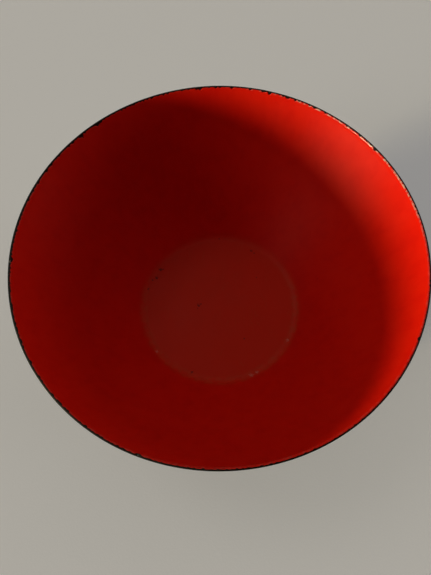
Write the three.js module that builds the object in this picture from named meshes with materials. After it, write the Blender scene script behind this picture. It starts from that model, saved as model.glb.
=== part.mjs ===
// Enamelled steel bowl: one pressing of sheet steel with a flat base and a flared, gently bowed
// wall, coated black outside and over the rim, and red inside over a dark ground coat.
//
// Millimetres, +Z up. The origin is the middle of the base, on the plane that the bowl stands on.

import * as THREE from 'three';

// ---- Driving dimensions ----

const RIM_DIAMETER = 250; // across the outside of the rim
const HEIGHT = 110; // from the standing plane to the top of the rim
const BASE_DIAMETER = 118; // outside of the flat base, where the corner starts
const CORNER_RADIUS = 10.1; // outside, between the base and the wall
const WALL_ANGLE_AT_BASE = 44; // degrees above the horizontal
const WALL_ANGLE_AT_RIM = 76; // degrees above the horizontal

const STANDING_RING_WIDTH = 5; // flat ring that carries the bowl
const CROWN_HEIGHT = 0.8; // how far the middle of the base is pressed up
const CROWN_SLOPE_WIDTH = 32; // from the standing ring to the raised middle

const STEEL_THICKNESS = 1.0;
const BLACK_COAT = 0.25; // outside, and over the steel's cut edge
const GROUND_COAT = 0.15; // inside, bonds the red coat to the steel
const RED_COAT = 0.3;
const RED_COAT_MARGIN = 0.5; // the red coat stops this far short of the steel's edge
const BOND_GAP = 0.02; // left between layers, so that no two solids overlap

// ---- Fineness of the facets ----

const FACETS_AROUND = 60;
const SLOPE_STEPS = 3;
const CORNER_STEPS = 3;
const WALL_STEPS = 6;
const LIP_STEPS = 4;

// ---- The layers' two faces, as depths measured inwards from the outside face ----

function layer(under, thickness) {
  return { outer: under, inner: under + thickness };
}

const BLACK = layer(0, BLACK_COAT);
const STEEL = layer(BLACK.inner + BOND_GAP, STEEL_THICKNESS);
const GROUND = layer(STEEL.inner + BOND_GAP, GROUND_COAT);
const RED = layer(GROUND.inner + BOND_GAP, RED_COAT);

const radians = THREE.MathUtils.degToRad;

// A station is a place on the outside face: its radius, its height and the slope of the face.
function station(radius, height, slope) {
  return { radius, height, slope };
}

// The point that lies a depth inside a station, square to the face.
function inward(place, depth) {
  const radius = Math.max(place.radius - depth * Math.sin(place.slope), 0);
  return new THREE.Vector2(radius, place.height + depth * Math.cos(place.slope));
}

// ---- The outside face, from the axis to the rim ----

const BASE_RADIUS = BASE_DIAMETER / 2;
const CROWN_FOOT_RADIUS = BASE_RADIUS - STANDING_RING_WIDTH;
const CROWN_TOP_RADIUS = CROWN_FOOT_RADIUS - CROWN_SLOPE_WIDTH;

// The raised middle of the base, and the soft slope from it to the standing ring.
function crownStations() {
  const stations = [station(0, CROWN_HEIGHT, 0)];
  for (let i = 0; i <= SLOPE_STEPS; i += 1) {
    const turn = Math.PI * (i / SLOPE_STEPS);
    const radius = THREE.MathUtils.lerp(CROWN_TOP_RADIUS, CROWN_FOOT_RADIUS, i / SLOPE_STEPS);
    const fall = (-CROWN_HEIGHT / 2) * Math.sin(turn) * (Math.PI / CROWN_SLOPE_WIDTH);
    stations.push(station(radius, (CROWN_HEIGHT * (1 + Math.cos(turn))) / 2, Math.atan(fall)));
  }
  return stations;
}

// The round corner from the standing ring up to the wall.
function cornerStations() {
  const stations = [];
  for (let i = 0; i <= CORNER_STEPS; i += 1) {
    const slope = radians(WALL_ANGLE_AT_BASE) * (i / CORNER_STEPS);
    const radius = BASE_RADIUS + CORNER_RADIUS * Math.sin(slope);
    stations.push(station(radius, CORNER_RADIUS * (1 - Math.cos(slope)), slope));
  }
  return stations;
}

// The top of the wall's outside face. The lip over the steel's edge ends at the full height.
function rimStation() {
  const slope = radians(WALL_ANGLE_AT_RIM);
  const middle = GROUND.inner / 2;
  const lipTop = middle * Math.cos(slope) + Math.hypot(
    middle * Math.cos(slope),
    BLACK_COAT * Math.sin(slope),
  );
  return station(RIM_DIAMETER / 2, HEIGHT - lipTop, slope);
}

// The bowed wall: one curve that leaves the corner and meets the rim at the two wall angles.
function wallStations(foot, rim) {
  const start = new THREE.Vector2(foot.radius, foot.height);
  const end = new THREE.Vector2(rim.radius, rim.height);
  const chord = end.clone().sub(start);
  const cross = (angle) => chord.x * Math.sin(angle) - chord.y * Math.cos(angle);
  const reach = cross(rim.slope) / Math.sin(rim.slope - foot.slope);
  const bend = new THREE.Vector2(Math.cos(foot.slope), Math.sin(foot.slope));
  const curve = new THREE.QuadraticBezierCurve(start, bend.multiplyScalar(reach).add(start), end);
  const stations = [];
  for (let i = 1; i < WALL_STEPS; i += 1) {
    const point = curve.getPoint(i / WALL_STEPS);
    const tangent = curve.getTangent(i / WALL_STEPS);
    stations.push(station(point.x, point.y, Math.atan2(tangent.y, tangent.x)));
  }
  return [...stations, rim];
}

function outsideFace() {
  const corner = cornerStations();
  return [...crownStations(), ...corner, ...wallStations(corner.at(-1), rimStation())];
}

const FACE = outsideFace();
const RIM = FACE.at(-1);

// ---- The layers ----

// The edge of a layer's face, which lies on the face's last facet, a margin short of the rim.
function edgePoint(depth, margin) {
  const end = inward(RIM, depth);
  const before = inward(FACE.at(-2), depth);
  return end.lerp(before, margin / end.distanceTo(before));
}

// One side of a layer, from the axis to its edge.
function side(depth, margin) {
  const points = FACE.slice(0, -1).map((place) => inward(place, depth));
  return [...points, edgePoint(depth, margin)];
}

// A layer as a closed outline that starts and ends on the axis.
function layerOutline({ outer, inner }, margin) {
  return [...side(outer, margin), ...side(inner, margin).reverse()];
}

// The rounded lip of the black coat, over the edges of the steel and the ground coat.
function lipPoints() {
  const upTheWall = new THREE.Vector2(Math.cos(RIM.slope), Math.sin(RIM.slope));
  const points = [];
  for (let i = 1; i < LIP_STEPS; i += 1) {
    const turn = Math.PI * (i / LIP_STEPS);
    const under = inward(RIM, (GROUND.inner / 2) * (1 - Math.cos(turn)));
    points.push(under.addScaledVector(upTheWall, BLACK_COAT * Math.sin(turn)));
  }
  return [...points, inward(RIM, GROUND.inner)];
}

function blackCoatOutline() {
  return [...side(BLACK.outer, 0), ...lipPoints(), ...side(BLACK.inner, 0).reverse()];
}

function turned(name, outline, finish) {
  const mesh = new THREE.Mesh(
    new THREE.LatheGeometry(outline, FACETS_AROUND),
    new THREE.MeshStandardMaterial(finish),
  );
  mesh.name = name;
  mesh.rotation.x = Math.PI / 2;
  return mesh;
}

const bowl = new THREE.Group();
bowl.name = 'enamelled_bowl';

bowl.add(turned('steel_shell', layerOutline(STEEL, BOND_GAP), {
  color: 0x6f7173,
  roughness: 0.45,
  metalness: 1,
}));

bowl.add(turned('outer_black_enamel', blackCoatOutline(), {
  color: 0x14110f,
  roughness: 0.55,
  metalness: 0,
}));

bowl.add(turned('inner_ground_coat', layerOutline(GROUND, BOND_GAP), {
  color: 0x1b1d24,
  roughness: 0.35,
  metalness: 0,
}));

bowl.add(turned('inner_red_enamel', layerOutline(RED, RED_COAT_MARGIN), {
  color: 0xd61f0c,
  roughness: 0.3,
  metalness: 0,
}));

export default bowl;
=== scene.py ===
"""The finish of an enamelled steel bowl, built round its plain model.

Four pieces stand for the model's four solids and lie in the same places, with a finer surface:
the pressed steel shell, the dark ground coat inside it, the red coat over that, and the black
coat outside and over the rim. Everything is in metres, +Z up, with the origin in the middle of
the base, on the plane that the bowl stands on.
"""

import math

import bpy
import numpy as np
from mathutils import Matrix, Vector


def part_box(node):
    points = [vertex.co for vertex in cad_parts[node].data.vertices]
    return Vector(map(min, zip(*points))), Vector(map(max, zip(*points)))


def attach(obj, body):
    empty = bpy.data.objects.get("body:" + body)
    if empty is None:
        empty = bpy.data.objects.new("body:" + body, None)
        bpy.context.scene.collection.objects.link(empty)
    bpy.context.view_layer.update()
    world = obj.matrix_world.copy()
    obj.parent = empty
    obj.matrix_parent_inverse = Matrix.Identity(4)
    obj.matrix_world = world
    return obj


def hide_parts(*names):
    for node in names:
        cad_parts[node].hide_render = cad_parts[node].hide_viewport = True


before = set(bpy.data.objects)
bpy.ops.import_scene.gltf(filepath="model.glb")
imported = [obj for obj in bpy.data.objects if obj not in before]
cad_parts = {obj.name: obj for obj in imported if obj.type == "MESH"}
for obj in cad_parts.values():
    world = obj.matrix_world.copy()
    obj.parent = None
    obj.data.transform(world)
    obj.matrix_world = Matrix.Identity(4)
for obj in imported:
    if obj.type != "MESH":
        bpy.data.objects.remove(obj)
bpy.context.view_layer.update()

bl_info = {
    "name": "Enamelled Bowl",
    "version": (1, 0, 0),
    "blender": (4, 5, 0),
    "location": "3D View > Sidebar > Bowl",
    "description": "Builds an enamelled steel bowl with a worn rim, and the stage it stands on",
    "category": "Add Mesh",
}

MM = 0.001
BLACK_LOW, BLACK_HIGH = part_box("outer_black_enamel")


# ---- What a user may change ----


def size(name, description, millimetres):
    """A length, kept in metres and given here in millimetres."""
    return bpy.props.FloatProperty(
        name=name, description=description, default=millimetres * MM, unit="LENGTH", precision=5
    )


def angle(name, description, degrees):
    """An angle, kept in radians and given here in degrees."""
    return bpy.props.FloatProperty(
        name=name, description=description, default=math.radians(degrees), subtype="ANGLE"
    )


def colour(name, description, red, green, blue):
    """A linear colour."""
    return bpy.props.FloatVectorProperty(
        name=name, description=description, default=(red, green, blue), size=3, subtype="COLOR"
    )


def amount(name, description, default, unit="NONE"):
    """A plain number, or one in watts or in a lens's millimetres."""
    return bpy.props.FloatProperty(
        name=name, description=description, default=default, unit=unit
    )


class BowlShape(bpy.types.PropertyGroup):
    """The outline of the bowl's outside face."""

    rim_diameter: size(
        "Rim diameter", "Across the outside of the rim", (BLACK_HIGH.x - BLACK_LOW.x) / MM
    )
    height: size("Height", "From the standing plane to the top of the rim", BLACK_HIGH.z / MM)
    base_diameter: size("Base diameter", "Outside of the flat base, where the corner starts", 118)
    corner_radius: size("Corner radius", "Outside, between the base and the wall", 10.1)
    angle_at_base: angle("Wall angle at base", "Slope of the wall where it leaves the corner", 44)
    angle_at_rim: angle("Wall angle at rim", "Slope of the wall at the rim", 76)
    standing_ring: size("Standing ring", "Width of the flat ring that carries the bowl", 5)
    crown_height: size("Crown height", "How far the middle of the base is pressed up", 0.8)
    crown_slope: size("Crown slope", "Width of the slope from the ring to the raised middle", 32)
    out_of_round: size("Out of round", "How far the rim strays from a true circle", 0.22)


class BowlCoats(bpy.types.PropertyGroup):
    """The thickness of each layer, and the shape of the coats' edges at the rim."""

    black: size("Black coat", "Thickness of the black coat", 0.25)
    steel: size("Steel", "Thickness of the steel sheet", 1.0)
    ground: size("Ground coat", "Thickness of the dark coat that bonds the red to the steel", 0.15)
    red: size("Red coat", "Thickness of the red coat", 0.3)
    gap: size("Bond gap", "Left between neighbouring layers", 0.02)
    red_lap: size("Red lap", "How far the red coat laps over the black lip on its full side", 0.86)
    red_fall: size("Red fall", "How far the red coat's edge falls back on its short side", 0.98)
    red_bead: size("Red bead", "How much thicker the red coat is along its edge", 0.14)
    bead_width: size("Bead width", "How far down from its edge the red coat is thicker", 1.3)
    shoulder: size("Shoulder", "How far below the rim the red coat starts to round over", 0.85)
    ripple: size("Ripple", "Depth of the slow waves that firing leaves in a coat", 0.035)


class BowlColours(bpy.types.PropertyGroup):
    """The colours of the finishes."""

    red: colour("Red", "The red enamel", 0.71, 0.0075, 0.0012)
    red_warm: colour("Warm red", "The red enamel where it is thick", 0.74, 0.0105, 0.0015)
    red_deep: colour("Deep red", "The red enamel where it is thin", 0.62, 0.0055, 0.0012)
    # Painted reflection: a greyer red for the base, standing in for the sky reflected in it.
    red_base_sheen: colour("Base red", "The red enamel on the base", 0.67, 0.024, 0.002)
    # Rubbed red, also used for the painted sheen on the ring round the base.
    red_rubbed: colour("Rubbed red", "The red enamel where it is rubbed", 0.61, 0.05, 0.016)
    # Painted highlight: a pale colour for glints on the rim's edge and on the corner round the base.
    red_edge: colour("Red edge", "The red enamel's thin upper edge", 0.68, 0.48, 0.41)
    black: colour("Black", "The black enamel", 0.0045, 0.0038, 0.0032)
    black_rubbed: colour("Rubbed black", "The black enamel where it is rubbed", 0.03, 0.027, 0.024)
    ground: colour("Ground coat", "The dark coat under the red", 0.012, 0.012, 0.016)
    steel: colour("Steel", "Bare steel in the chips", 0.17, 0.16, 0.15)
    rust: colour("Rust", "Rust on the bare steel", 0.09, 0.035, 0.015)


class BowlStage(bpy.types.PropertyGroup):
    """The floor, the lights and the camera."""

    floor: colour("Floor", "The pale floor", 0.85, 0.85, 0.87)
    floor_glow: amount("Floor glow", "Light that the floor adds, so that it looks pale", 0.17)
    light_distance: size("Light distance", "From the rim's centre to each light", 20000)
    key_colour: colour("Key colour", "The colour of the key light", 1.0, 0.87, 0.52)
    key_watts: amount("Key light", "Power of the low, warm key light", 4130, "POWER")
    key_turn: angle("Key turn", "Where the key light stands round the bowl, from +X", 202.5)
    key_rise: angle("Key rise", "How high the key light stands above the rim", 5.8)
    key_width: size("Key width", "Across the key light", 4300)
    window_watts: amount("Window light", "Power of the broad light above the key", 280, "POWER")
    window_turn: angle("Window turn", "Where the window light stands round the bowl", 208)
    window_rise: angle("Window rise", "How high the window light stands", 25)
    side_watts: amount("Side light", "Power of the high side light", 150, "POWER")
    side_turn: angle("Side turn", "Where the side light stands round the bowl", 145)
    side_rise: angle("Side rise", "How high the side light stands", 56)
    back_watts: amount("Back light", "Power of the low light across from the key", 440, "POWER")
    back_turn: angle("Back turn", "Where the back light stands round the bowl", 5)
    back_rise: angle("Back rise", "How high the back light stands", 5)
    soft_width: size("Soft width", "Across each of the three soft lights", 7300)
    sky_colour: colour("Sky colour", "The colour of the light from all round", 1.0, 0.945, 0.84)
    sky: amount("Sky", "Strength of the light from all round", 0.205)
    backdrop: amount("Backdrop", "How bright the sky looks behind the floor", 0.45)
    shade: amount("Shade", "Strength of the sky on the side where it is darkest", 0.0)
    shade_turn: angle("Shade turn", "Where the sky is darkest, round the bowl from +X", 285)
    shade_rise: angle("Shade rise", "How high the sky's darkest part stands", 32)
    focal_length: amount("Focal length", "For a frame 36 mm high", 27.95, "CAMERA")
    camera_roll: angle("Camera roll", "Turn of the camera about its own axis", 2.485)


# ---- The form that every coat follows ----


class Waves:
    """A smooth seeded unevenness: waves that run round the bowl and up its wall, from -1 to 1.

    The turns are the fewest and most waves in a turn round the bowl, and the pitches are the
    shortest and longest wave up the wall, in metres.
    """

    def __init__(self, seed, turns, pitches, count):
        draw = np.random.default_rng(seed)
        self.turns = draw.integers(turns[0], turns[1] + 1, count)
        self.pitches = draw.uniform(pitches[0], pitches[1], count) * draw.choice((-1, 1), count)
        self.phases = draw.uniform(0, 2 * math.pi, count)
        self.share = 1.6 / count

    def at(self, turn, length=0.0):
        """The height of the waves at a turn round the bowl and a length along its wall."""
        total = np.zeros(np.broadcast(turn, length).shape)
        for turns, pitch, phase in zip(self.turns, self.pitches, self.phases):
            total += np.cos(turns * turn + 2 * math.pi * length / pitch + phase)
        return np.clip(total * self.share, -1, 1)


class Nicks:
    """Small bites along the rim: each has a place in degrees, a width in millimetres and a depth."""

    def __init__(self, rim_radius, marks):
        self.rim_radius = rim_radius
        self.marks = marks

    def at(self, turn):
        """How deep the bites are at each turn round the rim, in the unit of their own depths."""
        deepest = np.zeros(np.shape(turn))
        for degrees, width, depth in self.marks:
            away = (turn - math.radians(degrees) + math.pi) % (2 * math.pi) - math.pi
            share = 1 - (away * self.rim_radius / (width * MM / 2)) ** 2
            deepest = np.maximum(deepest, depth * np.sqrt(np.clip(share, 0, 1)))
        return deepest


class Form:
    """The bowl's outside face as a line from the axis to the rim, measured by its own length."""

    SLOPE_SAMPLES = 60
    WALL_SAMPLES = 900
    # How far the black lip reaches in past the ground coat, and how much its height varies.
    LIP_SKIN = 0.05 * MM
    LIP_SWELL = 0.25

    def __init__(self, shape, coats):
        self.black_inner = coats.black
        self.steel_outer = self.black_inner + coats.gap
        self.steel_inner = self.steel_outer + coats.steel
        self.ground_outer = self.steel_inner + coats.gap
        self.ground_inner = self.ground_outer + coats.ground
        self.lip_depth = self.ground_inner + self.LIP_SKIN
        self.red_outer = self.ground_inner + coats.gap
        self.red_inner = self.red_outer + coats.red
        self.gap = coats.gap
        self.rim_height = shape.height
        self.rim_radius = shape.rim_diameter / 2
        self.out_of_round = shape.out_of_round
        self.roundness = Waves(3, turns=(2, 5), pitches=(1.0, 2.0), count=4)
        self.swelling = Waves(32, turns=(5, 60), pitches=(1.0, 2.0), count=20)

        base_radius = shape.base_diameter / 2
        crown_foot = base_radius - shape.standing_ring
        crown_top = crown_foot - shape.crown_slope
        corner = self.corner(base_radius, shape)
        parts = [
            np.array([[0, crown_top], [shape.crown_height, shape.crown_height], [0, 0]]),
            self.crown(crown_top, crown_foot, shape.crown_height),
            corner,
            self.wall(corner[:, -1], shape),
        ]
        self.radius, self.height, self.slope = np.hstack(parts)
        steps = np.hypot(np.diff(self.radius), np.diff(self.height))
        self.length = np.concatenate(([0], np.cumsum(steps)))
        self.crown_top_length = crown_top
        self.crown_foot_length = self.length_at(crown_foot)
        self.wall_length = self.length_at(corner[0, -1])
        self.end = self.length[-1]

    def length_at(self, radius):
        """How far along the line a radius is reached."""
        return float(np.interp(radius, self.radius, self.length))

    def crown(self, start, end, rise):
        """The soft slope from the raised middle of the base down to the standing ring."""
        share = np.linspace(0, 1, self.SLOPE_SAMPLES)[1:]
        height = rise * (1 + np.cos(math.pi * share)) / 2
        fall = -rise / 2 * np.sin(math.pi * share) * math.pi / (end - start)
        return np.array([start + (end - start) * share, height, np.arctan(fall)])

    def corner(self, start, shape):
        """The round corner between the standing ring and the wall."""
        slope = np.linspace(0, shape.angle_at_base, self.SLOPE_SAMPLES)
        radius = start + shape.corner_radius * np.sin(slope)
        return np.array([radius, shape.corner_radius * (1 - np.cos(slope)), slope])

    def wall(self, foot, shape):
        """The bowed wall, one curve that leaves the corner and meets the rim at its two angles."""
        half = self.ground_inner / 2 * math.cos(shape.angle_at_rim)
        lip = half + math.hypot(half, self.black_inner * math.sin(shape.angle_at_rim))
        start = foot[:2]
        end = np.array([self.rim_radius, shape.height - lip])
        chord = end - start
        turn = shape.angle_at_rim - shape.angle_at_base
        across = chord[0] * math.sin(shape.angle_at_rim) - chord[1] * math.cos(shape.angle_at_rim)
        along = np.array([math.cos(shape.angle_at_base), math.sin(shape.angle_at_base)])
        bend = start + along * across / math.sin(turn)
        share = np.linspace(0, 1, self.WALL_SAMPLES)[1:, None]
        points = (1 - share) ** 2 * start + 2 * share * (1 - share) * bend + share**2 * end
        way = (1 - share) * (bend - start) + share * (end - bend)
        return np.vstack([points.T, np.arctan2(way[:, 1], way[:, 0])])

    def lip_height(self, depth, turn):
        """How high the black lip stands over the steel's edge, at a depth and all round."""
        share = np.clip(depth / self.lip_depth, 0, 1)
        swell = 1 + self.LIP_SWELL * self.swelling.at(turn)
        return self.black_inner * swell * 2 * np.sqrt(share * (1 - share))

    def points(self, count, length, depth, reach=0.0):
        """A ring of points, a length along the line, a depth inside it and a reach up the wall."""
        turn = turns(count)
        slope = np.interp(length, self.length, self.slope)
        radius = np.interp(length, self.length, self.radius)
        height = np.interp(length, self.length, self.height)
        radius = radius - depth * np.sin(slope) + reach * np.cos(slope)
        height = height + depth * np.cos(slope) + reach * np.sin(slope)
        lift = np.clip(height / self.rim_height, 0, 1) ** 2
        radius = radius + self.out_of_round * lift * self.roundness.at(turn)
        height = height + np.zeros(count)
        return np.column_stack([radius * np.cos(turn), radius * np.sin(turn), height])


def turns(count):
    """The turn of each point in a ring of this many points."""
    return np.arange(count) * (2 * math.pi / count)


class Turning:
    """A closed skin made of rings round the axis, from its inner pole out to the rim and back.

    Neighbouring rings have the same number of points, or one has twice as many as the other.
    """

    def __init__(self, pole_height):
        self.points = [np.array([[0.0, 0.0, pole_height]])]
        self.faces = []
        self.total = 1
        self.last = None

    def ring(self, points):
        """Adds a ring and joins it to the one before."""
        ring = np.arange(self.total, self.total + len(points))
        self.points.append(points)
        self.total += len(points)
        if self.last is None:
            self.faces += np.column_stack([np.zeros_like(ring), ring, np.roll(ring, -1)]).tolist()
        else:
            self.join(self.last, ring)
        self.last = ring

    def join(self, near, far):
        """Faces between two rings."""
        if len(near) == len(far):
            corners = [near, far, np.roll(far, -1), np.roll(near, -1)]
            self.faces += np.column_stack(corners).tolist()
            return
        outward = len(far) > len(near)
        fine, coarse = (far, near) if outward else (near, far)
        start, middle, end = fine[0::2], fine[1::2], np.roll(fine, -2)[0::2]
        following = np.roll(coarse, -1)
        fans = [(coarse, start, middle), (coarse, middle, following), (following, middle, end)]
        for fan in fans:
            corners = fan if outward else fan[::-1]
            self.faces += np.column_stack(corners).tolist()

    def close(self, pole_height):
        """Adds the pole at the other end."""
        self.points.append(np.array([[0.0, 0.0, pole_height]]))
        pole = np.full_like(self.last, self.total)
        self.faces += np.column_stack([self.last, pole, np.roll(self.last, -1)]).tolist()

    def piece(self, name):
        """The finished piece, as an object in the scene."""
        mesh = bpy.data.meshes.new(name)
        mesh.from_pydata(np.vstack(self.points).tolist(), [], self.faces)
        mesh.polygons.foreach_set("use_smooth", [True] * len(mesh.polygons))
        mesh.update()
        made = bpy.data.objects.new(name, mesh)
        bpy.context.scene.collection.objects.link(made)
        return made


# Points in a ring: near the axis, on the base, on the wall, and close to the rim.
AXIS_COUNT, BASE_COUNT, WALL_COUNT, RIM_COUNT = 160, 320, 640, 1280


def steps(start, end, step):
    """Even stops from start up to end, end left out, about a step apart."""
    return np.linspace(start, end, max(1, round((end - start) / step)), endpoint=False)


def stops(form, first, edge, zones):
    """Where a face has its rings, from the first one out to its edge.

    The zones are the middle of the base, the slope round it, the corner and the wall. Each has
    a step in millimetres and a number of points in a ring. A stop is a length and that number.
    """
    ends = (first, form.crown_top_length, form.crown_foot_length, form.wall_length, edge)
    found = []
    for start, end, (step, count) in zip(ends, ends[1:], zones):
        found += [(length, count) for length in steps(start, end, step * MM)]
    return found


def face_stops(form, edge, wall_step):
    """The many rings of a face that shows, with a step up the wall in millimetres."""
    zones = ((2.5, AXIS_COUNT), (2.0, BASE_COUNT), (0.6, WALL_COUNT), (wall_step, WALL_COUNT))
    return stops(form, 2.5 * MM, edge, zones)


def hidden_stops(form, edge):
    """The few rings of a face that lies against another layer."""
    zones = ((12, AXIS_COUNT), (4, BASE_COUNT), (1.4, BASE_COUNT), (5, BASE_COUNT))
    return stops(form, 5 * MM, edge, zones)


# ---- Finishes ----


class Value:
    """A number that varies from place to place. Sums and products of values add Math nodes."""

    def __init__(self, tree, socket):
        self.tree = tree
        self.socket = socket

    def math(self, operation, *terms):
        """One Math node."""
        inputs = dict(enumerate(terms))
        return self.tree.node("ShaderNodeMath", {"operation": operation}, inputs)

    def __add__(self, other):
        return self.math("ADD", self, other)

    def __radd__(self, other):
        return self.math("ADD", other, self)

    def __sub__(self, other):
        return self.math("SUBTRACT", self, other)

    def __rsub__(self, other):
        return self.math("SUBTRACT", other, self)

    def __mul__(self, other):
        return self.math("MULTIPLY", self, other)

    def __rmul__(self, other):
        return self.math("MULTIPLY", other, self)

    def __truediv__(self, other):
        return self.math("DIVIDE", self, other)

    def __rtruediv__(self, other):
        return self.math("DIVIDE", other, self)

    def __abs__(self):
        return self.math("ABSOLUTE", self)

    def root(self):
        """Its square root."""
        return self.math("SQRT", self)

    def most(self, other):
        """The larger of two values."""
        return self.math("MAXIMUM", self, other)

    def fade(self, start, end, low=0.0, high=1.0):
        """Goes softly from low to high while the value goes from start to end."""
        inputs = {"Value": self, "From Min": start, "From Max": end, "To Min": low, "To Max": high}
        settings = {"interpolation_type": "SMOOTHSTEP"}
        return self.tree.node("ShaderNodeMapRange", settings, inputs)

    def band(self, middle, half_width, softness):
        """1 within half a width of the middle, and softly 0 outside."""
        return abs(self - middle).fade(half_width + softness, half_width)


class Nodes:
    """A node tree, with one way to add a node and one to feed a socket."""

    def __init__(self, tree):
        self.tree = tree

    def node(self, kind, settings=None, inputs=None, output=0):
        """Adds a node: its settings first, then the values or links of its sockets."""
        node = self.tree.nodes.new(kind)
        for key, value in (settings or {}).items():
            setattr(node, key, value)
        for key, value in (inputs or {}).items():
            self.feed(node.inputs[key], value)
        return Value(self, node.outputs[output])

    def feed(self, socket, value):
        """Links a value to a socket, or sets the socket to a plain number or colour."""
        if isinstance(value, Value):
            self.tree.links.new(value.socket, socket)
            return
        if socket.type == "RGBA" and len(value) == 3:
            value = (*value, 1.0)
        socket.default_value = value


class Finish(Nodes):
    """A procedural material: one surface shader, and the nodes that vary its sockets."""

    # The Mix node has sockets for each type of data. These are its factor and its colours.
    MIX_FACTOR, MIX_FIRST, MIX_SECOND, MIX_RESULT = 0, 6, 7, 2

    def __init__(self, name, fixed):
        self.material = bpy.data.materials.new(name)
        self.material.use_nodes = True
        super().__init__(self.material.node_tree)
        self.shader = self.tree.nodes["Principled BSDF"]
        for socket, value in fixed.items():
            self.feed(self.shader.inputs[socket], value)
        self.place = self.node("ShaderNodeTexCoord", output="Object")
        parts = self.tree.nodes.new("ShaderNodeSeparateXYZ")
        self.feed(parts.inputs[0], self.place)
        self.x, self.y, self.z = (Value(self, socket) for socket in parts.outputs)
        self.radius = (self.x * self.x + self.y * self.y).root()

    def surface(self, socket, value):
        """Feeds one of the surface shader's own sockets."""
        self.feed(self.shader.inputs[socket], value)

    def mix(self, mask, first, second):
        """A colour that goes from the first to the second as the mask goes from 0 to 1."""
        inputs = {self.MIX_FACTOR: mask, self.MIX_FIRST: first, self.MIX_SECOND: second}
        return self.node("ShaderNodeMix", {"data_type": "RGBA"}, inputs, self.MIX_RESULT)

    def noise(self, grain, detail=2.0, roughness=0.5, place=None, distortion=0.0):
        """Soft noise about 0.5, with a grain in metres."""
        inputs = {
            "Vector": place or self.place,
            "Scale": 1 / grain,
            "Detail": detail,
            "Roughness": roughness,
            "Distortion": distortion,
        }
        return self.node("ShaderNodeTexNoise", {}, inputs, "Fac")

    def stretched(self, x, y, z, turn=0.0):
        """The place, turned about the axis and drawn out along each direction."""
        inputs = {"Vector": self.place, "Rotation": (0, 0, turn), "Scale": (x, y, z)}
        return self.node("ShaderNodeMapping", {}, inputs)

    def spot(self, centre, radius, ragged):
        """1 at a centre, and softly 0 from about a radius on, with a ragged outline."""
        inputs = {0: self.place, 1: centre}
        away = self.node("ShaderNodeVectorMath", {"operation": "DISTANCE"}, inputs, "Value")
        return (away + ragged * radius).fade(radius, radius * 0.45)

    def specks(self, spacing, size, chance):
        """Scattered round specks: their spacing and size in metres, and the share that show."""
        inputs = {"Vector": self.place, "Scale": 1 / spacing}
        settings = {"feature": "F1", "voronoi_dimensions": "3D"}
        away = self.node("ShaderNodeTexVoronoi", settings, inputs, "Distance")
        shade = self.node("ShaderNodeTexVoronoi", settings, inputs, "Color")
        draw = self.node("ShaderNodeSeparateColor", {}, {0: shade}, 0)
        reach = size / spacing
        return away.fade(reach, reach * 0.4) * draw.fade(chance, chance * 0.9)

    def hairlines(self, grain, stretch, turn, fineness):
        """Long thin scratches, mostly one way, that come and go."""
        course = self.stretched(1, stretch, 1, turn)
        wavy = self.noise(grain, detail=1.0, place=course, distortion=0.6)
        line = abs(wavy - 0.5).fade(fineness, fineness * 0.2)
        return line * self.noise(grain * 2.5, detail=1.0).fade(0.5, 0.62)

    def relief(self, height, distance):
        """Feeds the surface's normal with a height, which stands for this distance in metres."""
        inputs = {"Height": height, "Distance": distance, "Strength": 1.0}
        self.surface("Normal", self.node("ShaderNodeBump", {}, inputs, "Normal"))


# The side of the rim where the key light glints on the red's edge and a pale highlight is painted,
# from +X.
GLINT_SIDE = math.radians(41)

# The light ring round the base inside: its middle, in millimetres from the axis.
RING_RADIUS = 62.0

# Pits in the red on and round the base: share of the ring's radius, place in degrees, size in mm.
PITS = [
    (0.962, 147.0, 2.4),
    (0.930, 145.5, 1.4),
    (0.945, 155.0, 2.0),
    (0.975, 158.0, 1.2),
    (0.985, 166.0, 1.3),
    (0.275, 181.0, 2.0),
    (0.245, 177.0, 1.0),
    (0.290, 190.0, 1.0),
    (0.915, 61.0, 1.8),
    (0.905, 57.5, 1.2),
    (0.950, 248.5, 1.6),
    (0.985, 90.0, 1.0),
    (0.640, 38.0, 0.9),
    (0.560, 305.0, 0.8),
]

# Painted glints: pale spots on the corner round the base that stand in for light glinting there. The
# same three values.
BASE_GLINTS = [
    (1.010, 293.0, 2.6),
    (1.005, 297.5, 2.0),
    (1.020, 218.0, 2.2),
    (0.995, 331.0, 1.8),
    (1.200, 56.0, 1.6),
]

# How much larger a mark is drawn, since its ragged outline eats into it.
SPREAD = 1.4


def base_spots(finish, height, marks):
    """A mask of ragged marks on and round the base."""
    # In shares of a mark's radius, from -1.5 to 1.5.
    ragged = finish.noise(0.8 * MM, roughness=0.6) * 3.0 - 1.5
    mask = None
    for share, degrees, width in marks:
        away, turn = RING_RADIUS * MM * share, math.radians(degrees)
        centre = (away * math.cos(turn), away * math.sin(turn), height)
        spot = finish.spot(centre, width * MM / 2 * SPREAD, ragged)
        mask = spot if mask is None else mask.most(spot)
    return mask


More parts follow.
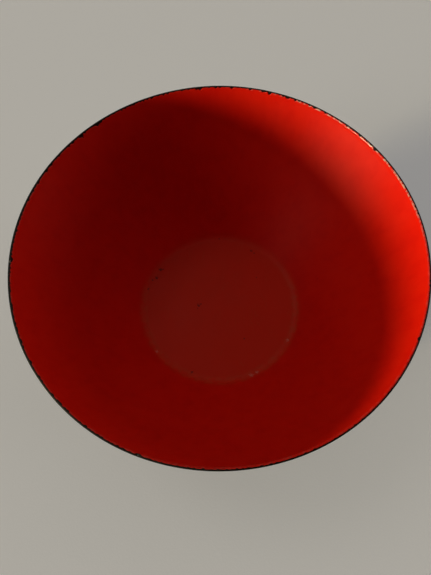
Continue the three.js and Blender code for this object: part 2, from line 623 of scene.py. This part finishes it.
def red_finish(shape, colours, form):
    """Red enamel: a soft gloss, slow mottling, a rubbed ring round the base, pits and hairlines.

    Light is painted on it too: a reflection on the base, sheen on the ring, and highlights
    on the rim's edge and on the corner round the base.
    """
    fixed = {"IOR": 1.5, "Specular IOR Level": 0.17, "Coat Roughness": 0.15}
    finish = Finish("red_enamel", fixed)
    ring_radius = RING_RADIUS * MM
    floor_height = form.red_inner + shape.crown_height / 2

    mottle = finish.noise(14 * MM, detail=3.0, roughness=0.55)
    streaks = finish.noise(5 * MM, place=finish.stretched(1, 1, 0.22))
    tone = mottle * 0.6 + streaks * 0.4
    body = finish.mix(tone.fade(0.35, 0.65), colours.red, colours.red_warm)
    body = finish.mix(tone.fade(0.5, 0.3, high=0.25), body, colours.red_deep)

    on_base = finish.radius.fade(ring_radius + 6.5 * MM, ring_radius - 3 * MM)
    ring = finish.radius.band(ring_radius, half_width=1.3 * MM, softness=3.4 * MM)
    rubbed = ring * finish.noise(5 * MM, detail=3.0, roughness=0.6).fade(0.25, 0.7)
    # Partly real rubbing and partly painted sheen: the ring is made lighter towards -Y, where its
    # corner reflects the sky.
    rubbed = rubbed * finish.y.fade(45 * MM, 5 * MM, low=0.15)
    lines = finish.hairlines(7 * MM, stretch=0.12, turn=0.5, fineness=0.012)
    lines = lines.most(finish.hairlines(9 * MM, stretch=0.1, turn=2.1, fineness=0.01)) * on_base
    # Painted reflection: the base is mixed towards the greyer red that stands in for the sky
    # reflected there.
    body = finish.mix(on_base * 0.9, body, colours.red_base_sheen)
    body = finish.mix((rubbed * 0.8).most(lines * 0.3), body, colours.red_rubbed)

    pits = base_spots(finish, floor_height, PITS)
    pits = pits.most(finish.specks(11 * MM, size=0.42 * MM, chance=0.12) * 0.6)
    # Painted glints: pale spots on the corner round the base, with a little relief.
    pale_marks = base_spots(finish, floor_height + 0.4 * MM, BASE_GLINTS)
    body = finish.mix(pale_marks * 0.3, body, colours.red_edge)
    body = finish.mix(pits * 0.85, body, colours.ground)

    edge = finish.z.fade(form.rim_height - 0.8 * MM, form.rim_height - 0.35 * MM)
    broken = finish.noise(2.6 * MM, detail=4.0, roughness=0.65)
    # 1 at the rim on the side where the key light glints, and -1 across from there.
    toward = (finish.x * math.cos(GLINT_SIDE) + finish.y * math.sin(GLINT_SIDE)) / form.rim_radius
    # Painted highlight: a pale colour along the rim's edge, strongest on the side where the key
    # light glints.
    thin = edge * broken.fade(0.48, 0.6) * toward.fade(0.72, 0.98, low=0.05)
    finish.surface("Base Color", finish.mix(thin * 0.9, body, colours.red_edge))
    finish.surface("Coat Weight", edge * broken.fade(0.36, 0.5) * toward.fade(0.3, 0.9))

    polish = finish.noise(20 * MM).fade(0.3, 0.7, low=0.38, high=0.46)
    finish.surface("Roughness", polish + on_base * 0.06 + rubbed * 0.08 + lines * 0.08)

    peel = finish.noise(3.2 * MM, detail=1.0) * 0.3 + finish.noise(0.7 * MM) * 0.08
    finish.relief(peel - pits * 1.6 + pale_marks * 0.5 - lines * 0.05 + edge * broken * 1.6, 0.05 * MM)
    return finish.material


def black_finish(shape, colours, form):
    """Black enamel: a pebbled half gloss, rubbed on the lip and on the ring it stands on."""
    fixed = {"IOR": 1.5, "Specular IOR Level": 0.14, "Coat Roughness": 0.28}
    finish = Finish("black_enamel", fixed)
    half_ring = shape.standing_ring / 2
    ring_middle = shape.base_diameter / 2 - half_ring

    low = finish.z.fade(0.5 * MM, 0.05 * MM)
    ring = finish.radius.band(ring_middle, half_ring, softness=0.8 * MM) * low
    worn = ring * finish.noise(1.6 * MM, detail=4.0, roughness=0.65).fade(0.36, 0.6)
    lip = finish.z.fade(form.rim_height - 0.7 * MM, form.rim_height - 0.1 * MM)
    lip_worn = lip * finish.noise(2.2 * MM, detail=3.0, roughness=0.6).fade(0.5, 0.72)
    # Fine scratches, paler than the coat.
    pale_marks = finish.hairlines(10 * MM, stretch=0.1, turn=0.3, fineness=0.008)
    pale_marks = pale_marks + finish.hairlines(14 * MM, stretch=0.08, turn=1.9, fineness=0.006)
    cloud = finish.noise(30 * MM, detail=3.0)

    body = finish.mix(cloud.fade(0.3, 0.7, high=0.25), colours.black, colours.black_rubbed)
    body = finish.mix(pale_marks * 0.35, body, colours.black_rubbed)
    body = finish.mix(lip_worn * 0.3, body, colours.black_rubbed)
    finish.surface("Base Color", finish.mix(worn * 0.8, body, colours.steel))

    below_lip = finish.z.fade(form.rim_height - 0.8 * MM, form.rim_height - 3 * MM)
    finish.surface("Coat Weight", below_lip * cloud.fade(0.7, 0.3, low=0.6, high=0.9))
    dull = cloud.fade(0.3, 0.7, low=0.26, high=0.38)
    finish.surface("Roughness", dull + pale_marks * 0.1 + worn * 0.1 + lip * 0.06)

    pebble = finish.noise(1.1 * MM) + finish.noise(4 * MM, detail=1.0) * 0.8
    finish.relief(pebble - pale_marks * 0.1 - worn * 0.3, 0.035 * MM)
    return finish.material


def ground_finish(colours):
    """The blue-black ground coat: glassy, with fine bubbles."""
    finish = Finish("ground_enamel", {"IOR": 1.5})
    bubbles = finish.specks(1.4 * MM, size=0.35 * MM, chance=0.5)
    cloud = finish.noise(6 * MM, detail=3.0)
    body = finish.mix(cloud.fade(0.35, 0.7, high=0.5), colours.ground, colours.black)
    finish.surface("Base Color", finish.mix(bubbles * 0.4, body, colours.black_rubbed))
    finish.surface("Roughness", cloud.fade(0.3, 0.7, low=0.2, high=0.34))
    finish.relief(finish.noise(0.8 * MM) - bubbles * 0.6, 0.03 * MM)
    return finish.material


def steel_finish(colours):
    """Bare sheet steel in the chips: dull, with rolling marks and a little rust."""
    finish = Finish("bare_steel", {})
    rust = finish.noise(2.5 * MM, detail=4.0, roughness=0.65).fade(0.48, 0.62)
    grain = finish.noise(0.5 * MM, place=finish.stretched(1, 0.1, 1))
    body = finish.mix(grain.fade(0.3, 0.7, high=0.3), colours.steel, colours.ground)
    finish.surface("Base Color", finish.mix(rust, body, colours.rust))
    finish.surface("Metallic", 1 - rust * 0.9)
    finish.surface("Roughness", rust.fade(0, 1, low=0.42, high=0.8))
    finish.relief(grain * 0.4 + rust, 0.02 * MM)
    return finish.material


# ---- The pieces ----

# The side of the rim where the red coat stops short of the lip, from +X.
SHORT_SIDE = math.radians(133)

# How far the red coat's ragged edge falls back all round, and how much more on its short side,
# in millimetres.
RAGGED, MORE_RAGGED = 1.0, 1.7

# Bites in the red coat's edge: degrees round the rim, width and depth in millimetres.
RED_NICKS = [
    (34.0, 2.8, 1.4),
    (40.5, 2.0, 1.0),
    (57.5, 2.2, 0.8),
    (67.0, 3.4, 1.1),
    (73.0, 3.0, 1.5),
    (96.0, 5.0, 0.8),
    (118.0, 2.4, 0.8),
    (131.0, 7.0, 1.0),
    (138.0, 4.0, 1.3),
    (184.0, 3.2, 1.4),
    (228.0, 2.4, 0.7),
    (251.0, 2.8, 0.9),
    (332.0, 2.2, 0.8),
]

# Chips in the black lip: degrees round the rim, width in millimetres, share of its height lost.
LIP_CHIPS = [
    (35.0, 2.4, 1.0),
    (72.0, 2.0, 0.8),
    (118.0, 1.8, 0.7),
    (184.5, 2.8, 1.0),
    (251.0, 2.2, 0.8),
    (332.0, 1.8, 0.7),
]


def shape_and_coats(context):
    """The form that the sizes give, with the two groups of sizes."""
    shape, coats = context.scene.bowl_shape, context.scene.bowl_coats
    return Form(shape, coats), shape, coats


def red_edge(form, coats, turn):
    """How far the red coat laps over the lip, and how far it stops short of it, all round."""
    wander = Waves(11, turns=(25, 330), pitches=(1.0, 2.0), count=40).at(turn)
    short_side = (1 + np.cos(turn - SHORT_SIDE)) / 2
    ragged = (RAGGED + MORE_RAGGED * short_side) * np.clip(wander, 0, 1)
    lap = coats.red_lap - coats.red_fall * short_side - ragged * MM
    lap = lap - Nicks(form.rim_radius, RED_NICKS).at(turn) * MM
    return np.clip(lap, 0, None), np.clip(-lap, 0, None)


def put_on(piece, node, material):
    """Puts a piece on the bowl's one body, in place of its solid in the model."""
    piece.data.materials.append(material)
    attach(piece, "root")
    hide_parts(node)


class BOWL_OT_steel_shell(bpy.types.Operator):
    """Add the pressed steel shell, which shows only where the coats are chipped"""

    bl_idname = "bowl.steel_shell"
    bl_label = "Steel Shell"
    bl_options = {"REGISTER", "UNDO"}

    # Where the even rings of both faces stop, below the cut edge.
    FACE_END = 1 * MM
    # The cut edge: how far its corners are rounded, and where across the sheet it has rings.
    ROUND = 0.08 * MM
    EDGE_SHARES = (0.92, 0.5, 0.08)

    def execute(self, context):
        form, shape, coats = shape_and_coats(context)
        edge = form.end - form.gap
        skin = Turning(shape.crown_height + form.steel_inner)
        for length, count in hidden_stops(form, edge - self.FACE_END):
            skin.ring(form.points(count, length, form.steel_inner))
        skin.ring(form.points(WALL_COUNT, edge - self.ROUND, form.steel_inner))
        for share in self.EDGE_SHARES:
            depth = form.steel_outer + coats.steel * share
            skin.ring(form.points(WALL_COUNT, edge, depth))
        skin.ring(form.points(WALL_COUNT, edge - self.ROUND, form.steel_outer))
        for length, count in hidden_stops(form, edge - self.FACE_END)[::-1]:
            skin.ring(form.points(count, length, form.steel_outer))
        skin.close(shape.crown_height + form.steel_outer)
        material = steel_finish(context.scene.bowl_colours)
        put_on(skin.piece("steel_shell_fine"), "steel_shell", material)
        return {"FINISHED"}


class BOWL_OT_ground_coat(bpy.types.Operator):
    """Add the dark ground coat, which shows in the nicks along the red coat's edge"""

    bl_idname = "bowl.ground_coat"
    bl_label = "Ground Coat"
    bl_options = {"REGISTER", "UNDO"}

    # Where the even rings of the inner and the outer face stop, below the edge.
    INNER_END = 5 * MM
    OUTER_END = 1 * MM
    # Rings close to the edge: how far each lies below it, in millimetres.
    BELOW_EDGE = (4.0, 3.0, 2.2, 1.5, 0.9, 0.4, 0.05)

    def execute(self, context):
        form, shape, _ = shape_and_coats(context)
        edge = form.end - form.gap
        skin = Turning(shape.crown_height + form.ground_inner)
        for length, count in hidden_stops(form, edge - self.INNER_END):
            skin.ring(form.points(count, length, form.ground_inner))
        for below in self.BELOW_EDGE:
            skin.ring(form.points(WALL_COUNT, edge - below * MM, form.ground_inner))
        skin.ring(form.points(WALL_COUNT, edge, (form.ground_inner + form.ground_outer) / 2))
        skin.ring(form.points(WALL_COUNT, edge - self.BELOW_EDGE[-1] * MM, form.ground_outer))
        for length, count in hidden_stops(form, edge - self.OUTER_END)[::-1]:
            skin.ring(form.points(count, length, form.ground_outer))
        skin.close(shape.crown_height + form.ground_outer)
        material = ground_finish(context.scene.bowl_colours)
        put_on(skin.piece("ground_coat_fine"), "inner_ground_coat", material)
        return {"FINISHED"}


class BOWL_OT_red_coat(bpy.types.Operator):
    """Add the red coat inside, with a thicker rounded edge that wanders and is nicked"""

    bl_idname = "bowl.red_coat"
    bl_label = "Red Coat"
    bl_options = {"REGISTER", "UNDO"}

    # Where the even rings of the inner and the outer face stop, below the rim.
    INNER_END = 11 * MM
    OUTER_END = 7 * MM
    # Rings close to the edge: how far each lies below it, in millimetres.
    BELOW_EDGE = (9, 7.2, 5.6, 4.3, 3.3, 2.5, 1.9, 1.4, 1.0, 0.6, 0.3, 0.1)
    # How far below the edge, in millimetres, rings still follow its line and waves are weaker.
    CALM = 4
    # Rings over the rounded edge, which lies as a film on the black lip, its tip tucked in.
    EDGE_RINGS = 10
    FILM = 0.05 * MM
    TUCK = 0.04 * MM
    # A power: the higher it is, the later in the edge's curve the film thins and the tip tucks in.
    LATE = 6
    # The outer face's two rings behind the edge, below the rim.
    BEHIND_EDGE = 0.6 * MM
    BEHIND_WALL = 3.5 * MM

    def execute(self, context):
        form, shape, coats = shape_and_coats(context)
        ripple = Waves(21, turns=(3, 26), pitches=(0.02, 0.09), count=30)
        turn = turns(RIM_COUNT)
        lap, short = red_edge(form, coats, turn)

        skin = Turning(shape.crown_height + form.red_inner)
        for length, count in face_stops(form, form.end - self.INNER_END, 2.0):
            wave = coats.ripple * ripple.at(turns(count), length)
            skin.ring(form.points(count, length, form.red_inner + wave))
        for below in self.BELOW_EDGE:
            follow = short * math.exp(-((below / self.CALM) ** 2))
            length = form.end - coats.shoulder - below * MM - follow
            bead = coats.red_bead * math.exp(-((below * MM / coats.bead_width) ** 2))
            wave = coats.ripple * ripple.at(turn, length) * min(1.0, below / self.CALM)
            skin.ring(form.points(RIM_COUNT, length, form.red_inner + bead + wave))

        front = form.red_inner + coats.red_bead
        tip = form.lip_depth - lap
        rise = form.lip_height(tip, turn) + coats.shoulder
        for share in np.linspace(0, 1, self.EDGE_RINGS):
            bend = math.pi / 2 * share
            depth = tip + (front - tip) * math.cos(bend)
            reach = rise * math.sin(bend) - coats.shoulder
            late = share**self.LATE
            film = form.lip_height(depth, turn) + self.FILM * (1 - late)
            reach = np.where(depth < form.lip_depth, np.maximum(reach, film), reach)
            skin.ring(form.points(RIM_COUNT, form.end, depth, reach - short - self.TUCK * late))
        skin.ring(form.points(RIM_COUNT, form.end - self.BEHIND_EDGE - short, form.red_outer))
        skin.ring(form.points(WALL_COUNT, form.end - self.BEHIND_WALL, form.red_outer))
        for length, count in hidden_stops(form, form.end - self.OUTER_END)[::-1]:
            skin.ring(form.points(count, length, form.red_outer))
        skin.close(shape.crown_height + form.red_outer)
        material = red_finish(shape, context.scene.bowl_colours, form)
        put_on(skin.piece("red_coat_fine"), "inner_red_enamel", material)
        return {"FINISHED"}


class BOWL_OT_black_coat(bpy.types.Operator):
    """Add the black coat: the outside, and a rounded, chipped lip over the steel's cut edge"""

    bl_idname = "bowl.black_coat"
    bl_label = "Black Coat"
    bl_options = {"REGISTER", "UNDO"}

    # Where the even rings of the inner and the outer face stop, below the rim.
    INNER_END = 1 * MM
    OUTER_END = 4 * MM
    # The inner face's last ring, below the rim, and the number of rings over the lip.
    UNDER_LIP = 0.6 * MM
    LIP_RINGS = 14
    # The outer face's rings close to the lip: how far each lies below the rim, in millimetres.
    BELOW_RIM = (0.3, 0.8, 1.6, 2.8)
    # The lip's inner edge: how far it hangs over the ground coat, the share of the red coat's
    # shortfall that it adds to that, and the space left between it and the ground coat.
    OVERLAP = 0.1 * MM
    OVERLAP_SHARE = 0.4
    CLEARANCE = 0.005 * MM
    # Rings that round that edge: the share of the lip's skin and the share of the overlap.
    ROUNDING = ((0.6, 0.96), (1.0, 0.88))
    # A chip: how far it bites below the steel's edge, and how far it hollows the lip there.
    CHIP_SINK = 0.3 * MM
    CHIP_HOLLOW = 0.12 * MM
    # How much thicker the coat is just below the rim, and how far down, in millimetres.
    BULGE = 0.06 * MM
    BULGE_LENGTH = 1.0

    def execute(self, context):
        form, shape, coats = shape_and_coats(context)
        ripple = Waves(31, turns=(3, 30), pitches=(0.02, 0.08), count=30)
        turn = turns(RIM_COUNT)
        chip = Nicks(form.rim_radius, LIP_CHIPS).at(turn)
        _, short = red_edge(form, coats, turn)
        overlap = self.OVERLAP + self.OVERLAP_SHARE * short
        inner_edge = form.ground_inner + self.CLEARANCE

        skin = Turning(shape.crown_height + form.black_inner)
        for length, count in hidden_stops(form, form.end - self.INNER_END):
            skin.ring(form.points(count, length, form.black_inner))
        skin.ring(form.points(WALL_COUNT, form.end - self.UNDER_LIP, form.black_inner))
        sunk = -self.CHIP_SINK * chip
        skin.ring(form.points(RIM_COUNT, form.end, form.black_inner, sunk))
        skin.ring(form.points(RIM_COUNT, form.end, inner_edge, sunk))
        skin.ring(form.points(RIM_COUNT, form.end, inner_edge, -overlap))
        for share, hang in self.ROUNDING:
            depth = form.ground_inner + form.LIP_SKIN * share
            skin.ring(form.points(RIM_COUNT, form.end, depth, -overlap * hang))
        for share in np.linspace(1, 0, self.LIP_RINGS):
            bend = math.pi * share
            depth = form.lip_depth * (1 - math.cos(bend)) / 2
            whole = form.lip_height(depth, turn)
            reach = whole * (1 - chip) - self.CHIP_HOLLOW * chip * math.sin(bend)
            bulge = self.BULGE * math.cos(bend / 2) * (1 - share)
            skin.ring(form.points(RIM_COUNT, form.end, depth - bulge, reach))
        for below in self.BELOW_RIM:
            bulge = self.BULGE * math.exp(-((below / self.BULGE_LENGTH) ** 2))
            skin.ring(form.points(RIM_COUNT, form.end - below * MM, -bulge))
        for length, count in face_stops(form, form.end - self.OUTER_END, 2.4)[::-1]:
            on_wall = 1 if length > form.wall_length else 0
            wave = coats.ripple * ripple.at(turns(count), length) * on_wall
            skin.ring(form.points(count, length, wave))
        skin.close(shape.crown_height)
        material = black_finish(shape, context.scene.bowl_colours, form)
        put_on(skin.piece("black_coat_fine"), "outer_black_enamel", material)
        return {"FINISHED"}


# ---- The stage ----


def direction(turn, rise):
    """The way to a place round the bowl and above it."""
    flat = math.cos(rise)
    return Vector((flat * math.cos(turn), flat * math.sin(turn), math.sin(rise)))


class BOWL_OT_stage(bpy.types.Operator):
    """Add the pale floor, the soft lights and the camera"""

    bl_idname = "bowl.stage"
    bl_label = "Stage"
    bl_options = {"REGISTER", "UNDO"}

    # Half the floor's width, in metres, and the height of the camera's frame, in millimetres.
    FLOOR_HALF = 6.0
    FRAME_HEIGHT = 36
    # The sky's dark part: the cosines of the angles off its middle where it starts and is full.
    SHADE_START, SHADE_FULL = 0.3, 0.9
    # From the rim's centre, in rim radii: where the camera stands, and the point it aims at.
    CAMERA_PLACE = Vector((0.0188, -0.9758, 1.9076))
    CAMERA_AIM = Vector((-0.0118, -0.2181, 0.0))

    def execute(self, context):
        stage, shape = context.scene.bowl_stage, context.scene.bowl_shape
        rim = Vector((0, 0, shape.height))
        self.camera(context, stage, rim, shape.rim_diameter / 2)
        self.floor(context, stage)
        warm = (stage.key_width, stage.key_colour)
        soft = (stage.soft_width, stage.sky_colour)
        lights = (
            ("key", stage.key_turn, stage.key_rise, stage.key_watts, *warm),
            ("window", stage.window_turn, stage.window_rise, stage.window_watts, *soft),
            ("side", stage.side_turn, stage.side_rise, stage.side_watts, *soft),
            ("back", stage.back_turn, stage.back_rise, stage.back_watts, *soft),
        )
        for name, turn, rise, watts, width, tint in lights:
            way = direction(turn, rise)
            light = self.light(name, watts, width, tint)
            light.location = rim + way * stage.light_distance
            light.rotation_euler = (-way).to_track_quat("-Z", "Y").to_euler()
            context.scene.collection.objects.link(light)
        self.sky(context, stage)
        context.scene.view_settings.view_transform = "Standard"
        return {"FINISHED"}

    def camera(self, context, stage, rim, radius):
        """The camera, which looks down into the bowl."""
        lens = bpy.data.cameras.new("camera")
        lens.sensor_fit = "VERTICAL"
        lens.sensor_height = self.FRAME_HEIGHT
        lens.lens = stage.focal_length
        camera = bpy.data.objects.new("camera", lens)
        place = rim + self.CAMERA_PLACE * radius
        aim = rim + self.CAMERA_AIM * radius
        turn = (aim - place).to_track_quat("-Z", "Y").to_matrix().to_4x4()
        roll = Matrix.Rotation(-stage.camera_roll, 4, "Z")
        camera.matrix_world = Matrix.Translation(place) @ turn @ roll
        context.scene.collection.objects.link(camera)
        context.scene.camera = camera

    def floor(self, context, stage):
        """A wide pale floor."""
        half = self.FLOOR_HALF
        corners = [(-half, -half, 0), (half, -half, 0), (half, half, 0), (-half, half, 0)]
        mesh = bpy.data.meshes.new("floor")
        mesh.from_pydata(corners, [], [(0, 1, 2, 3)])
        floor = bpy.data.objects.new("floor", mesh)
        context.scene.collection.objects.link(floor)
        glow = {"Emission Color": stage.floor, "Emission Strength": stage.floor_glow}
        dull = {"Roughness": 0.9, "Specular IOR Level": 0.0, "Base Color": stage.floor}
        finish = Finish("pale_floor", {**dull, **glow})
        finish.relief(finish.noise(1.5 * MM, detail=3.0), 0.05 * MM)
        mesh.materials.append(finish.material)

    def light(self, name, watts, width, tint):
        """A round soft light that the camera doesn't see."""
        lamp = bpy.data.lights.new(name, "AREA")
        lamp.shape = "DISK"
        lamp.size = width
        lamp.energy = watts
        lamp.color = tint
        light = bpy.data.objects.new(name, lamp)
        light.visible_camera = False
        return light

    def sky(self, context, stage):
        """Soft light from all round, weaker from the side where the camera stands."""
        world = bpy.data.worlds.new("sky")
        world.use_nodes = True
        sky = Nodes(world.node_tree)
        way = sky.node("ShaderNodeTexCoord", output="Generated")
        inputs = {0: way, 1: direction(stage.shade_turn, stage.shade_rise)}
        toward = sky.node("ShaderNodeVectorMath", {"operation": "DOT_PRODUCT"}, inputs, "Value")
        light = toward.fade(self.SHADE_START, self.SHADE_FULL, low=stage.sky, high=stage.shade)
        seen = sky.node("ShaderNodeLightPath", output="Is Camera Ray")
        background = world.node_tree.nodes["Background"]
        sky.feed(background.inputs["Color"], stage.sky_colour)
        sky.feed(background.inputs["Strength"], light * (1 - seen) + seen * stage.backdrop)
        context.scene.world = world


# ---- The add-on ----


class BOWL_PT_sidebar(bpy.types.Panel):
    """The bowl's pieces and sizes in the sidebar"""

    bl_idname = "BOWL_PT_sidebar"
    bl_label = "Enamelled Bowl"
    bl_space_type = "VIEW_3D"
    bl_region_type = "UI"
    bl_category = "Bowl"

    def draw(self, context):
        for operator in OPERATORS:
            self.layout.operator(operator.bl_idname)
        for group in GROUPS:
            box = self.layout.box()
            box.label(text=group.replace("_", " ").capitalize())
            settings = getattr(context.scene, group)
            for name in type(settings).__annotations__:
                box.prop(settings, name)


GROUPS = {
    "bowl_shape": BowlShape,
    "bowl_coats": BowlCoats,
    "bowl_colours": BowlColours,
    "bowl_stage": BowlStage,
}
OPERATORS = (
    BOWL_OT_stage,
    BOWL_OT_steel_shell,
    BOWL_OT_ground_coat,
    BOWL_OT_red_coat,
    BOWL_OT_black_coat,
)
CLASSES = (*GROUPS.values(), *OPERATORS, BOWL_PT_sidebar)


def register():
    """Adds the classes and the scene's settings."""
    for made in CLASSES:
        bpy.utils.register_class(made)
    for name, group in GROUPS.items():
        setattr(bpy.types.Scene, name, bpy.props.PointerProperty(type=group))


def unregister():
    """Removes what register added."""
    for name in GROUPS:
        delattr(bpy.types.Scene, name)
    for made in reversed(CLASSES):
        bpy.utils.unregister_class(made)


def main():
    """Builds the bowl and its stage."""
    register()
    bpy.ops.bowl.stage()
    bpy.ops.bowl.steel_shell()
    bpy.ops.bowl.ground_coat()
    bpy.ops.bowl.red_coat()
    bpy.ops.bowl.black_coat()


if __name__ == "__main__":
    main()
